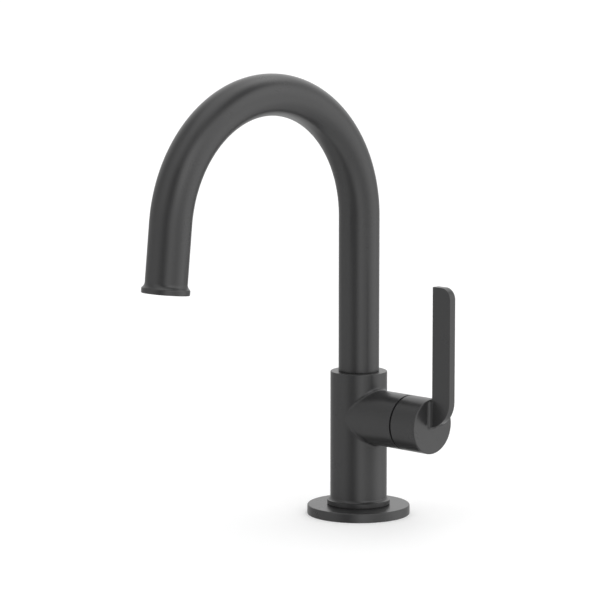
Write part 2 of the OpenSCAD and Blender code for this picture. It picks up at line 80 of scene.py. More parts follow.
# Rings of faces round the branch's opening and round the holes of the two grub screws
BRANCH_RINGS = 12
LOCK_RINGS = 4
SCREW_RINGS = 6
# Rows of faces along the spout's riser, bend and straight end
SPOUT_ROWS = (8, 120, 4)
# Share of a hole's radius within which a face of the underside lies in the hole
IN_HOLE = 0.999
# Points closer than this are one point, and edges shorter than the second length are none
WELD = 2e-6
TINY = 1e-7
# Rounds on the flange's lower edge and the hub's recess, on the mouths of the bores, and on the
# aerator thread's mouth
LOWER_EDGE = 0.2 * MM
MOUTH_EDGE = 0.3 * MM
THREAD_EDGE = 0.25 * MM
# Plain shaft kept below and above the saddle's edge
BELOW_SADDLE = 2 * MM
ABOVE_SADDLE = 1.5 * MM
# How deep the ends of the lever's outline lie in the hub, and of the fillet's ends in its face
ROOT_SINK = 0.22 * MM
ROOT_STEP = 0.5 * MM
FILLET_SINK = 0.3 * MM
# Round on the lever's inner top corner
INNER_CORNER = 0.5 * MM
# Room between the collar's spigot and the tube
COLLAR_FIT = 0.03 * MM
# Local Z along the valve's axis
ALONG_X = Matrix(((0, 0, 1, 0), (1, 0, 0, 0), (0, 1, 0, 0), (0, 0, 0, 1)))
COATING = "Satin black coating"


def reach(node, axis, end):
    """How far a CAD node goes along an axis, at its low (0) or high (1) end."""
    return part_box(node)[end][axis]


def length(label, about, value, low=0.0, high=1.0):
    """A size that a user would change."""
    return FloatProperty(
        name=label, description=about, default=value, min=low, max=high,
        precision=5, unit="LENGTH", subtype="DISTANCE",
    )


def colour(label, about, value):
    """A colour that a user would change."""
    return FloatVectorProperty(
        name=label, description=about, default=value, min=0, max=1, size=3, subtype="COLOR",
    )


def slant(label, about, degrees):
    """An angle that a user would change."""
    return FloatProperty(
        name=label, description=about, default=math.radians(degrees), subtype="ANGLE",
    )


def share(label, about, value, low=0.0, high=1.0):
    """A plain number that a user would change."""
    return FloatProperty(
        name=label, description=about, default=value, min=low, max=high, precision=3,
    )


class FaucetBodySizes(bpy.types.PropertyGroup):
    flange_radius: length("Flange radius", "Radius of the base flange", reach("base_flange", 0, 1))
    flange_height: length(
        "Flange height", "Thickness of the base flange", reach("base_flange", 2, 1),
    )
    flange_edge: length("Flange edge", "Round on the upper edge of the flange", 0.8 * MM)
    flange_bore: length("Flange bore", "Radius of the hole round the body's spigot", 15.03 * MM)
    gasket_outer: length("Gasket radius", "Outer radius of the gasket's recess", 27.03 * MM)
    gasket_inner: length("Gasket inner radius", "Inner radius of the gasket's recess", 21.97 * MM)
    gasket_depth: length("Gasket depth", "Depth of the gasket's recess", reach("base_gasket", 2, 1))
    spigot_radius: length("Spigot radius", "Radius of the body's spigot in the flange", 15 * MM)
    foot_radius: length("Foot radius", "Radius of the foot ring", 19.4 * MM)
    foot_low: length("Foot bottom", "Height of the foot ring's underside", reach("foot_seal", 2, 1))
    foot_high: length("Foot top", "Height at which the foot ring's cove starts", 9.0 * MM)
    foot_edge: length("Foot edge", "Round on the foot ring's edges", 0.25 * MM)
    radius: length("Body radius", "Radius of the upright body", 17.5 * MM)
    top: length("Body top", "Height of the body's top face", reach("faucet_body", 2, 1))
    edge: length("Body edge", "Round on the body's upper edge", 0.6 * MM)
    valve_height: length("Valve height", "Height of the valve's axis", 62.0 * MM)
    branch_radius: length("Branch radius", "Radius of the valve branch", 16.9 * MM)
    branch_reach: length("Branch reach", "Place of the branch's end face", reach("faucet_body", 0, 1))
    branch_edge: length("Branch edge", "Round on the branch's end", 0.15 * MM)
    saddle: length("Saddle fillet", "Radius of the fillet between body and branch", 2.4 * MM)
    socket_radius: length("Socket radius", "Radius of the spout's socket", 11 * MM)
    socket_floor: length("Socket floor", "Height of the socket's floor", 70.8 * MM)
    chamber_radius: length("Chamber radius", "Radius of the valve chamber", 12 * MM)
    chamber_floor: length("Chamber floor", "Place of the valve chamber's floor", 13.5 * MM)
    nut_radius: length("Nut radius", "Radius of the lock nut's thread", 14 * MM)
    nut_floor: length("Nut floor", "Place where the lock nut's thread starts", 33.5 * MM)
    inlet_radius: length("Inlet radius", "Radius of the threaded inlet", 5 * MM)
    inlet_place: length("Inlet place", "Distance of the inlet from the axis", 6.5 * MM)
    inlet_depth: length("Inlet depth", "Depth of the threaded inlet", 12 * MM)
    stud_radius: length("Stud radius", "Radius of the stud's hole", 4 * MM)
    stud_place: length("Stud place", "Distance of the stud's hole from the axis", 7 * MM)
    stud_depth: length("Stud depth", "Depth of the stud's hole", 14 * MM)
    lock_height: length("Lock height", "Height of the lock screw's hole", 85.6 * MM)
    grub_radius: length("Grub radius", "Radius of the two grub screws' holes", 2 * MM)


class FaucetHandleSizes(bpy.types.PropertyGroup):
    hub_start: length("Hub start", "Place of the hub's inner face", 42.8 * MM)
    hub_end: length("Hub end", "Place of the hub's end face", 61.8 * MM)
    hub_radius: length("Hub radius", "Radius of the hub", 16.9 * MM)
    hub_edge: length("Hub edge", "Round on the hub's outer end", 0.8 * MM)
    gap_edge: length("Gap edge", "Round on the hub's inner edge", 0.15 * MM)
    recess_radius: length("Recess radius", "Radius of the recess round the lock nut", 15 * MM)
    recess_floor: length("Recess floor", "Place of the recess's floor", 49 * MM)
    adapter_radius: length("Adapter radius", "Radius of the adapter's bore", 7.48 * MM)
    adapter_floor: length("Adapter floor", "Place of the adapter bore's floor", 57.6 * MM)
    screw_place: length("Screw place", "Place of the grub screw's hole", 53.3 * MM)
    blade_inner: length("Blade inner edge", "Place of the lever's inner edge", 63.4 * MM)
    blade_outer: length("Blade outer edge", "Place of the lever's outer edge", reach("handle", 0, 1))
    blade_top: length("Blade top", "Height of the lever's top", reach("handle", 2, 1))
    blade_half: length("Blade half", "Half the lever's thickness", 2.5 * MM)
    blade_edge: length("Blade edge", "Round on the lever's long edges", 0.35 * MM)
    corner: length("Blade corner", "Radius of the lever's outer top corner", 7 * MM)
    root: length("Blade root", "Radius of the curve below the lever", 17 * MM)
    inner_fillet: length("Inner fillet", "Radius of the fillet between lever and hub top", 1.6 * MM)
    fillet: length("Root fillet", "Radius of the fillet round the lever's root", 3.0 * MM)


class FaucetSpoutSizes(bpy.types.PropertyGroup):
    tube_radius: length("Tube radius", "Outer radius of the spout tube", 12.5 * MM)
    tube_inner: length("Tube inner radius", "Inner radius of the spout tube", 11.3 * MM)
    lap: length("Foot lap", "How far the tube's foot laps down over the glide ring", 0.33 * MM)
    tube_start: length("Tube start", "Height of the CAD tube's lower end", reach("spout_tube", 2, 0))
    tube_edge: length("Tube edge", "Round on the tube's lower edge", 0.1 * MM)
    riser: length("Riser", "Length of the straight riser", 95.0 * MM)
    bend_radius: length("Bend radius", "Radius of the gooseneck's middle line", 78.5 * MM)
    bend_angle: slant("Bend angle", "Angle through which the gooseneck bends", 173.9)
    end: length("Straight end", "Length of the straight end", 34.4 * MM)
    rim_radius: length("Rim radius", "Radius of the outlet's rim", 14.25 * MM)
    slope: length("Slope start", "Height at which the flare's slope starts", 1.65 * MM)
    flare: length("Flare", "Height at which the flare's slope ends", 3.4 * MM)
    band: length("Band", "Height of the rim below the slope", 3.0 * MM)
    cove: length("Cove", "Radius of the cove between the tube and the flare", 3.9 * MM)
    flare_edge: length("Flare edge", "Round between the flare and the band", 1.2 * MM)
    rim_edge: length("Rim edge", "Round on the lower edge of the rim", 0.5 * MM)
    thread_radius: length("Thread radius", "Radius of the aerator's thread", 10.75 * MM)
    neck_radius: length("Neck radius", "Radius of the collar's inner bore", 9 * MM)
    seal_place: length("Seal place", "Height of the aerator's seat above the tube's end", 0.4 * MM)
    collar_grip: length("Collar grip", "Length of the collar's spigot in the tube", 6 * MM)


class FaucetFinish(bpy.types.PropertyGroup):
    coat: colour("Coating", "Satin black coating", (0.03, 0.03, 0.0305))
    coat_roughness: share("Coating roughness", "How matt the coating is", 0.28)
    grain: length("Coating grain", "Size of the coating's fine grain", 0.35 * MM)
    brass: colour("Brass", "Machined brass", (0.72, 0.52, 0.24))
    steel: colour("Steel", "Stainless steel of the screws and the clip", (0.60, 0.60, 0.61))
    rubber: colour("Rubber", "Seals and gaskets", (0.02, 0.02, 0.02))
    ceramic: colour("Ceramic", "Lapped valve discs", (0.85, 0.84, 0.80))
    white_plastic: colour("White plastic", "Glide washer and jet disc", (0.80, 0.80, 0.78))
    black_plastic: colour("Black plastic", "Trim ring, glide ring and aerator", (0.015, 0.015, 0.016))


class FaucetStudio(bpy.types.PropertyGroup):
    distance: length("Camera distance", "Level distance from the body's axis", 1.8942, 0.1, 10)
    sideways: length("Camera sideways", "Camera's place to the right of the axis", -0.0362, -1, 1)
    height: length("Camera height", "Camera's height above the deck", 0.3996, 0, 5)
    azimuth: slant("Camera azimuth", "Angle from the front towards the lever", 45)
    pitch: slant("Camera pitch", "How far the camera looks down", 8.011)
    lens: FloatProperty(
        name="Lens", description="Focal length in millimetres", default=187.03, min=10, max=500,
    )
    light: share("Light", "Strength of the soft light all round", 1.0, 0, 4)
    floor_size: length("Floor size", "Side of the square floor", 12, 1, 50)
    floor_colour: colour("Floor colour", "Pale matt floor", (0.85, 0.85, 0.85))
    floor_fill: share("Floor fill", "Light that the floor adds to its own for the camera", 0.2)


def outline(corners, closed=True, steps=EDGE_STEPS):
    """Strokes of a profile through corners (x, y, round), each point with its outward normal.

    The solid lies to the left of the way in which the corners are given."""
    spots = [Vector(corner[:2]) for corner in corners]
    rounds = [corner[2] if len(corner) > 2 else 0 for corner in corners]
    count = len(spots)
    ends = []
    for i, spot in enumerate(spots):
        if rounds[i] == 0 or (not closed and i in (0, count - 1)):
            ends.append((spot, spot, None))
            continue
        way_in = (spot - spots[i - 1]).normalized()
        way_out = (spots[(i + 1) % count] - spot).normalized()
        turn = math.atan2(way_in.cross(way_out), way_in.dot(way_out))
        side = 1 if turn > 0 else -1
        cut = rounds[i] * math.tan(abs(turn) / 2)
        start = spot - way_in * cut
        centre = start + Vector((-way_in.y, way_in.x)) * side * rounds[i]
        first = math.atan2(start.y - centre.y, start.x - centre.x)
        arc = []
        for k in range(steps + 1):
            a = first + turn * k / steps
            out = Vector((math.cos(a), math.sin(a)))
            arc.append((centre + out * rounds[i], out * side))
        ends.append((start, spot + way_out * cut, arc))
    strokes = []
    for i, (_, leave, arc) in enumerate(ends):
        if arc:
            strokes.append(arc)
        if i == count - 1 and not closed:
            break
        arrive = ends[(i + 1) % count][0]
        if (arrive - leave).length > TINY:
            way = (arrive - leave).normalized()
            normal = Vector((way.y, -way.x))
            strokes.append([(leave, normal), (arrive, normal)])
    return strokes


class Skin:
    """Faces whose corners carry their exact normals. Points that meet are welded when it is built."""

    def __init__(self):
        self.faces = []
        self.place = Matrix()

    def face(self, corners):
        """Adds a face, wound so that it faces the way its normals point."""
        turn = self.place.to_3x3()
        placed = [(self.place @ point, turn @ normal) for point, normal in corners]
        points = [point for point, _ in placed]
        spokes = [point - points[0] for point in points[1:]]
        facing = sum((a.cross(b) for a, b in zip(spokes, spokes[1:])), Vector())
        if facing.dot(sum((normal for _, normal in placed), Vector())) < 0:
            placed.reverse()
        self.faces.append(placed)

    def grid(self, rows):
        """Adds the faces between rows of corners."""
        for low, high in zip(rows, rows[1:]):
            for i in range(len(low) - 1):
                self.face((low[i], low[i + 1], high[i + 1], high[i]))

    def lathe(self, strokes, turns=TURNS, start=0.0, sweep=FULL_TURN):
        """Turns profile strokes (radius, height) round the local Z axis."""
        for stroke in strokes:
            rows = []
            for point, normal in stroke:
                row = []
                for i in range(turns + 1):
                    c = math.cos(start + sweep * i / turns)
                    s = math.sin(start + sweep * i / turns)
                    row.append((
                        Vector((point.x * c, point.x * s, point.y)),
                        Vector((normal.x * c, normal.x * s, normal.y)),
                    ))
                rows.append(row)
            self.grid(rows)

    def tube_band(self, radius, low, high, start, sweep, turns, rows):
        """A plain part of a cylinder, divided to meet a pierced part."""
        levels = [low + (high - low) * k / rows for k in range(rows + 1)]
        out = Vector((1, 0))
        self.lathe([[(Vector((radius, z)), out) for z in levels]], turns, start, sweep)

    def pierced(self, radius, wide, low, high, rim, quarter, rings):
        """Part of a cylinder, wide each way from the local X axis, round an opening.

        rim(turn) gives the angle and height of the opening's edge, turn 0 at its top."""
        count = 4 * quarter
        rows = [[] for _ in range(rings + 1)]
        for i in range(count + 1):
            side, step = divmod(i + quarter // 2, quarter)
            t = step / quarter
            corner = (
                (-wide + 2 * wide * t, high),
                (wide, high + (low - high) * t),
                (wide - 2 * wide * t, low),
                (-wide, low + (high - low) * t),
            )[side % 4]
            angle, level = rim(FULL_TURN * i / count)
            for k in range(rings + 1):
                a = angle + (corner[0] - angle) * k / rings
                z = level + (corner[1] - level) * k / rings
                out = Vector((math.cos(a), math.sin(a), 0))
                rows[k].append((out * radius + Vector((0, 0, z)), out))
        self.grid(rows)

    def bore(self, radius, level, hole, depth_to, quarter):
        """Wall of a round hole that runs in along the local X axis to depth_to."""
        outer, inner = [], []
        for i in range(4 * quarter + 1):
            t = FULL_TURN * i / (4 * quarter)
            y = hole * math.sin(t)
            z = level + hole * math.cos(t)
            normal = Vector((0, -math.sin(t), -math.cos(t)))
            outer.append((Vector((math.sqrt(radius ** 2 - y ** 2), y, z)), normal))
            inner.append((Vector((depth_to, y, z)), normal))
        self.grid([outer, inner])

    def drilled(self, radius, low, high, hole, level, depth_to, rings):
        """A cylinder with a small round hole that runs in along the local X axis to depth_to."""
        rim = round_hole(hole, radius, level)
        self.pierced(radius, HOLE_STRIP, low, high, rim, HOLE_QUARTER, rings)
        self.bore(radius, level, hole, depth_to, HOLE_QUARTER)
        rest = FULL_TURN - 2 * HOLE_STRIP
        self.tube_band(radius, low, high, HOLE_STRIP, rest, TURNS - HOLE_QUARTER, HOLE_QUARTER)

    def build(self, name, body, replaced):
        """Welds the faces into a coated object that rides on a body and stands for a CAD node."""
        shape = bmesh.new()
        layer = shape.loops.layers.float_vector.new("corner_normal")
        for corners in self.faces:
            made = shape.faces.new([shape.verts.new(point) for point, _ in corners])
            made.smooth = True
            for loop, (_, normal) in zip(made.loops, corners):
                loop[layer] = normal
        bmesh.ops.remove_doubles(shape, verts=shape.verts, dist=WELD)
        thin = [edge for edge in shape.edges if edge.calc_length() < TINY]
        if thin:
            bmesh.ops.dissolve_degenerate(shape, edges=thin, dist=TINY)
        mesh = bpy.data.meshes.new(name)
        shape.to_mesh(mesh)
        shape.free()
        normals = [corner.vector[:] for corner in mesh.attributes["corner_normal"].data]
        mesh.normals_split_custom_set(normals)
        mesh.attributes.remove(mesh.attributes["corner_normal"])
        mesh.materials.append(bpy.data.materials[COATING])
        piece = bpy.data.objects.new(name, mesh)
        bpy.context.scene.collection.objects.link(piece)
        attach(piece, body)
        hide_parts(replaced)


def round_hole(hole, radius, level):
    """Edge of a round hole drilled square into a cylinder, for Skin.pierced."""
    return lambda turn: (math.asin(hole * math.sin(turn) / radius), level + hole * math.cos(turn))


def flange_skin(sizes):
    """Base flange, with the gasket's recess in its underside."""
    skin = Skin()
    skin.lathe(outline([
        (sizes.flange_bore, 0),
        (sizes.gasket_inner, 0),
        (sizes.gasket_inner, sizes.gasket_depth),
        (sizes.gasket_outer, sizes.gasket_depth),
        (sizes.gasket_outer, 0),
        (sizes.flange_radius, 0, LOWER_EDGE),
        (sizes.flange_radius, sizes.flange_height, sizes.flange_edge),
        (sizes.flange_bore, sizes.flange_height),
    ]), 2 * TURNS)
    return skin


def saddle_places(sizes, turn):
    """Centre of a ball rolling in the corner between body and branch, and where it touches them."""
    ball = sizes.saddle
    y = (sizes.branch_radius + ball) * math.sin(turn)
    z = (sizes.branch_radius + ball) * math.cos(turn)
    x = math.sqrt((sizes.radius + ball) ** 2 - y ** 2)
    return Vector((x, y, z)), -Vector((x, y, 0)).normalized(), -Vector((0, y, z)).normalized()


def saddle_rim(sizes):
    """Edge of the saddle fillet on the shaft, for Skin.pierced."""
    def rim(turn):
        centre, inward, _ = saddle_places(sizes, turn)
        return math.atan2(-inward.y, -inward.x), sizes.valve_height + centre.z

    return rim


def body_skin(sizes):
    """The body's casting: foot, shaft with its saddle, branch, top and bores."""
    skin = Skin()
    quarter = TURNS // 2
    axis_up = Vector((0, 0, sizes.valve_height))
    low = sizes.valve_height - sizes.branch_radius - sizes.saddle - BELOW_SADDLE
    high = sizes.valve_height + sizes.branch_radius + sizes.saddle + ABOVE_SADDLE
    # Spigot, foot ring and the shaft up to the saddle
    skin.lathe(outline([
        (sizes.spigot_radius, 0),
        (sizes.spigot_radius, sizes.foot_low),
        (sizes.foot_radius, sizes.foot_low, sizes.foot_edge),
        (sizes.foot_radius, sizes.foot_high, sizes.foot_edge),
    ], closed=False))
    cove = sizes.foot_radius - sizes.radius
    arc = []
    for k in range(COVE_STEPS + 1):
        a = math.radians(270 - 90 * k / COVE_STEPS)
        spot = Vector((sizes.foot_radius, sizes.foot_high + cove))
        spot += cove * Vector((math.cos(a), math.sin(a)))
        arc.append((spot, Vector((-math.cos(a), -math.sin(a)))))
    out = Vector((1, 0))
    arc_top = arc[-1][0]
    skin.lathe([arc, [(arc_top, out), (Vector((sizes.radius, low)), out)]])
    # Shaft round the saddle, and its plain back
    skin.pierced(sizes.radius, QUARTER_TURN, low, high, saddle_rim(sizes), quarter, BRANCH_RINGS)
    skin.tube_band(sizes.radius, low, high, QUARTER_TURN, 2 * QUARTER_TURN, quarter, quarter)
    # Saddle fillet and the branch
    rows = [[] for _ in range(FILLET_STEPS + 1)]
    branch = [[], []]
    for i in range(4 * quarter + 1):
        centre, to_body, to_branch = saddle_places(sizes, FULL_TURN * i / (4 * quarter))
        for k, row in enumerate(rows):
            way = to_body.slerp(to_branch, k / FILLET_STEPS)
            row.append((axis_up + centre + way * sizes.saddle, -way))
        foot = axis_up + centre + to_branch * sizes.saddle
        branch[0].append((foot, -to_branch))
        far = Vector((sizes.branch_reach - sizes.branch_edge, foot.y, foot.z))
        branch[1].append((far, -to_branch))
    skin.grid(rows)
    skin.grid(branch)
    # Top band with the lock screw's hole at the back, top face and the spout's socket
    top = sizes.top - sizes.edge
    skin.place = Matrix.Rotation(QUARTER_TURN, 4, "Z")
    skin.drilled(
        sizes.radius, high, top, sizes.grub_radius, sizes.lock_height, sizes.socket_radius, LOCK_RINGS,
    )
    skin.place = Matrix()
    skin.lathe(outline([
        (sizes.radius, top),
        (sizes.radius, sizes.top, sizes.edge),
        (sizes.socket_radius, sizes.top, MOUTH_EDGE),
        (sizes.socket_radius, sizes.socket_floor),
        (0, sizes.socket_floor),
    ], closed=False))
    # Branch's end face, the lock nut's thread and the valve chamber
    skin.place = Matrix.Translation(axis_up) @ ALONG_X
    skin.lathe(outline([
        (sizes.branch_radius, sizes.branch_reach - sizes.branch_edge),
        (sizes.branch_radius, sizes.branch_reach, sizes.branch_edge),
        (sizes.nut_radius, sizes.branch_reach, MOUTH_EDGE),
        (sizes.nut_radius, sizes.nut_floor),
        (sizes.chamber_radius, sizes.nut_floor),
        (sizes.chamber_radius, sizes.chamber_floor),
        (0, sizes.chamber_floor),
    ], closed=False), 2 * TURNS)
    # Underside with its two threaded holes
    skin.place = Matrix()
    holes = (
        (sizes.inlet_place, sizes.inlet_radius, sizes.inlet_depth),
        (-sizes.stud_place, sizes.stud_radius, sizes.stud_depth),
    )
    points, edges = [], []
    for x, radius, _ in ((0, sizes.spigot_radius, 0), *holes):
        first = len(points)
        for i in range(TURNS):
            a = FULL_TURN * i / TURNS
            points.append(Vector((x + radius * math.cos(a), radius * math.sin(a))))
            edges.append((first + i, first + (i + 1) % TURNS))
    spots, _, triangles, *_ = delaunay_2d_cdt(points, edges, [], 0, TINY)
    down = Vector((0, 0, -1))
    for triangle in triangles:
        middle = sum((spots[i] for i in triangle), Vector((0, 0))) / 3
        if all((middle - Vector((x, 0))).length > radius * IN_HOLE for x, radius, _ in holes):
            skin.face([(spots[i].to_3d(), down) for i in triangle])
    for x, radius, depth in holes:
        skin.place = Matrix.Translation((x, 0, 0))
        skin.lathe(threaded(radius, depth))
    return skin


def threaded(radius, depth, pitch=1.0 * MM, groove=0.5 * MM):
    """Strokes of a threaded hole, open at height 0: ridges at the nominal radius less the groove."""
    strokes = []
    level = 0.0
    while level < depth - pitch:
        strokes += outline([
            (radius, level + pitch),
            (radius - groove, level + pitch / 2),
            (radius, level),
        ], closed=False)
        level += pitch
    strokes += outline([(0, depth), (radius, depth), (radius, level)], closed=False)
    return strokes


def lever_outline(sizes, axis_height):
    """Strokes of the lever seen along the deck, from its root inside the hub and round again."""
    radius = sizes.hub_radius
    top = sizes.blade_top - axis_height
    inside = sizes.hub_end - sizes.hub_edge
    return outline([
        (sizes.blade_outer - sizes.root, radius - sizes.root),
        (sizes.blade_outer, radius - sizes.root, sizes.root),
        (sizes.blade_outer, top, sizes.corner),
        (sizes.blade_inner, top, INNER_CORNER),
        (sizes.blade_inner, radius, sizes.inner_fillet),
        (inside, radius - ROOT_SINK),
        (inside - ROOT_STEP, radius - ROOT_SINK - sizes.hub_edge),
    ], steps=LEVER_STEPS)


def edge_arc():
    """Cosine and sine of each step of a round edge, from straight down to straight out."""
    turns = [math.radians(-90 + 90 * k / EDGE_STEPS) for k in range(EDGE_STEPS + 1)]
    return [(math.cos(turn), math.sin(turn)) for turn in turns]


def root_fillet(sizes, skin):
    """Fillet where the lever's two sides and its underside meet the hub's end face."""
    ball = sizes.fillet
    half = sizes.blade_half
    edge = sizes.blade_edge
    away = sizes.hub_end + ball
    arc_x = sizes.blade_outer - sizes.root
    arc_z = sizes.hub_radius
    cut = sizes.hub_radius - sizes.hub_edge
    to_face = Vector((-1, 0, 0))

    def under(psi):
        """Ball's centre below the lever, and its way to the lever, psi 0 at the side and 90 below."""
        spread = edge + ball
        low = sizes.root - edge + spread * math.sin(psi)
        drop = math.sqrt(low ** 2 - (away - arc_x) ** 2)
        out = Vector((away - arc_x, 0, -drop)) / low
        centre = Vector((away, half - edge + spread * math.cos(psi), arc_z - drop))
        near = Vector((arc_x, half - edge + edge * math.cos(psi), arc_z))
        near += out * (sizes.root - edge + edge * math.sin(psi))
        return centre, (near - centre).normalized()

    steps = FILLET_STEPS
    side_top = [[] for _ in range(steps + 1)]
    corner = [[] for _ in range(steps + 1)]
    start, start_way = under(0)
    for k in range(steps + 1):
        way = to_face.slerp(start_way, k / steps)
        y = start.y + way.y * ball
        # The fillet's upper end follows the rim of the hub's flat end face
        top = math.sqrt(cut ** 2 - y ** 2)
        for i in range(COVE_STEPS + 1):
            z = start.z + way.z * ball
            z += (top - z) * i / COVE_STEPS
            side_top[k].append((Vector((away + way.x * ball, y, z)), -way))
        for i in range(steps + 1):
            centre, near = under(QUARTER_TURN * i / steps)
            turned = to_face.slerp(near, k / steps)
            corner[k].append((centre + turned * ball, -turned))
        # The last ball goes on to the middle of the lever's underside
        centre, near = under(QUARTER_TURN)
        turned = to_face.slerp(near, k / steps)
        corner[k].append((Vector((centre.x, 0, centre.z)) + turned * ball, -turned))
    # Wall down from the fillet's upper end into the hub
    wall = [[], []]
    for row in side_top:
        spot = row[-1][0]
        normal = Vector((0, spot.y, spot.z)).normalized()
        wall[0].append((Vector((sizes.hub_end - FILLET_SINK, spot.y, spot.z)), normal))
        wall[1].append((spot, normal))
    keep = skin.place
    for mirrored in (1, -1):
        skin.place = keep @ Matrix.Diagonal((1, mirrored, 1, 1))
        skin.grid(side_top)
        skin.grid(corner)
        skin.grid(wall)
    skin.place = keep


def handle_skin(sizes, axis_height, grub):
    """Hub and blade lever in one, with its fillets, rounded edges and bores."""
    skin = Skin()
    along = Matrix.Translation((0, 0, axis_height)) @ ALONG_X
    start = sizes.hub_start
    # Hub's cylinder, with the grub screw's hole in its underside
    low = start + sizes.gap_edge
    high = sizes.hub_end - sizes.hub_edge
    skin.place = along @ Matrix.Rotation(-QUARTER_TURN, 4, "Z")
    skin.drilled(
        sizes.hub_radius, low, high, grub, sizes.screw_place, sizes.adapter_radius, SCREW_RINGS,
    )
    skin.place = along
    skin.lathe(outline([
        (0, sizes.adapter_floor),
        (sizes.adapter_radius, sizes.adapter_floor),
        (sizes.adapter_radius, sizes.recess_floor),
        (sizes.recess_radius, sizes.recess_floor),
        (sizes.recess_radius, start, LOWER_EDGE),
        (sizes.hub_radius, start, sizes.gap_edge),
        (sizes.hub_radius, low),
    ], closed=False))
    skin.lathe(outline([
        (sizes.hub_radius, high),
        (sizes.hub_radius, sizes.hub_end, sizes.hub_edge),
        (0, sizes.hub_end),
    ], closed=False))
    # Lever: its rim with rounded long edges, and its two flat sides
    skin.place = Matrix.Translation((0, 0, axis_height))
    half = sizes.blade_half
    edge = sizes.blade_edge
    across = []
    for c, s in edge_arc():
        across.append((edge * (1 - c), edge - half + edge * s, c, s))
    across += [(inset, -y, out, -tilt) for inset, y, out, tilt in reversed(across)]
    sides = {-1: [], 1: []}
    for stroke in lever_outline(sizes, axis_height):
        rows = []
        for point, normal in stroke:
            row = []
            for inset, y, out, tilt in across:
                spot = point - normal * inset
                way = Vector((normal.x * out, tilt, normal.y * out))
                row.append((Vector((spot.x, y, spot.y)), way))
            rows.append(row)
            sides[-1].append(row[0][0])
            sides[1].append(row[-1][0])
        skin.grid(rows)
    for side, points in sides.items():
        normal = Vector((0, side, 0))
        kept = [points[0]]
        for point in points[1:]:
            if (point - kept[-1]).length > WELD:
                kept.append(point)
        skin.face([(point, normal) for point in kept])
    root_fillet(sizes, skin)
    return skin


def gooseneck_skin(sizes):
    """Riser, bend and straight end of the spout in one seamless tube."""
    skin = Skin()
    spring = sizes.tube_start + sizes.riser
    pivot = Vector((0, -sizes.bend_radius, spring))

    def station(place):
        """Middle of the tube at a distance along it, its outward way and its way along."""
        if place <= sizes.riser:
            return Vector((0, 0, sizes.tube_start + place)), Vector((0, 1, 0)), Vector((0, 0, 1))
        angle = min((place - sizes.riser) / sizes.bend_radius, sizes.bend_angle)
        out = Vector((0, math.cos(angle), math.sin(angle)))
        along = Vector((0, -math.sin(angle), math.cos(angle)))
        past = place - sizes.riser - angle * sizes.bend_radius
        return pivot + out * sizes.bend_radius + along * past, out, along

    # Distances along the tube at which its rows lie, the first at the lapped foot
    stops = [-sizes.lap]
    whole = 0.0
    parts = (sizes.riser, sizes.bend_angle * sizes.bend_radius, sizes.end)
    for part, count in zip(parts, SPOUT_ROWS):
        stops += [whole + part * k / count for k in range(1, count + 1)]
        whole += part
    outer = [(sizes.tube_radius, stop, 1, 0) for stop in (sizes.tube_edge - sizes.lap, *stops[1:])]
    inner = [(sizes.tube_inner, stop, -1, 0) for stop in stops]
    edge = sizes.tube_edge
    foot = [
        (sizes.tube_radius - edge * (1 - c), edge * (1 + s) - sizes.lap, c, s) for c, s in edge_arc()
    ]
    low = [(radius, -sizes.lap, 0, -1) for radius in (sizes.tube_inner, sizes.tube_radius - edge)]
    last = [(radius, whole, 0, 1) for radius in (sizes.tube_inner, sizes.tube_radius)]
    for profile in (low, foot, outer, last, inner):
        rows = []
        for radius, stop, out_share, along_share in profile:
            middle, out, along = station(stop)
            row = []
            for i in range(TURNS + 1):
                a = FULL_TURN * i / TURNS
                way = Vector((math.cos(a), 0, 0)) + out * math.sin(a)
                row.append((middle + way * radius, way * out_share + along * along_share))
            rows.append(row)
        skin.grid(rows)
    middle, _, along = station(whole)
    return skin, middle, along


def collar_skin(sizes, end, flow):
    """Flared collar on the tube's end, open inside for the aerator."""
    skin = Skin()
    skin.place = Matrix.Translation(end) @ flow.to_track_quat("Z", "X").to_matrix().to_4x4()
    bottom = sizes.flare + sizes.band
    spigot_radius = sizes.tube_inner - COLLAR_FIT
    skin.lathe(outline([
        (sizes.tube_radius, 0),
        (sizes.tube_radius, sizes.slope, sizes.cove),
        (sizes.rim_radius, sizes.flare, sizes.flare_edge),
        (sizes.rim_radius, bottom, sizes.rim_edge),
        (sizes.thread_radius, bottom, THREAD_EDGE),
        (sizes.thread_radius, -sizes.seal_place),
        (sizes.neck_radius, -sizes.seal_place),
        (sizes.neck_radius, -sizes.collar_grip),
        (spigot_radius, -sizes.collar_grip, MOUTH_EDGE),
        (spigot_radius, 0),
    ], steps=COVE_STEPS))
    return skin


def effect_group(name, inputs, outputs):
    """An empty shader node group with its named inputs and outputs."""
    group = bpy.data.node_groups.new(name, "ShaderNodeTree")
    for label, kind, value in inputs:
        socket = group.interface.new_socket(label, in_out="INPUT", socket_type=kind)
        socket.default_value = value
    for label, kind in outputs:
        group.interface.new_socket(label, in_out="OUTPUT", socket_type=kind)
    return group, group.nodes.new("NodeGroupInput"), group.nodes.new("NodeGroupOutput")


def linked(tree, kind, values=(), links=(), **settings):
    """A node with its settings, socket values and incoming links."""
    node = tree.nodes.new(kind)
    for key, value in settings.items():
        setattr(node, key, value)
    for socket, value in dict(values).items():
        node.inputs[socket].default_value = value
    for socket, source in dict(links).items():
        tree.links.new(source, node.inputs[socket])
    return node


# Share of the fine grain in the change of colour and roughness. The patches have the rest
FINE_SHARE = 0.35


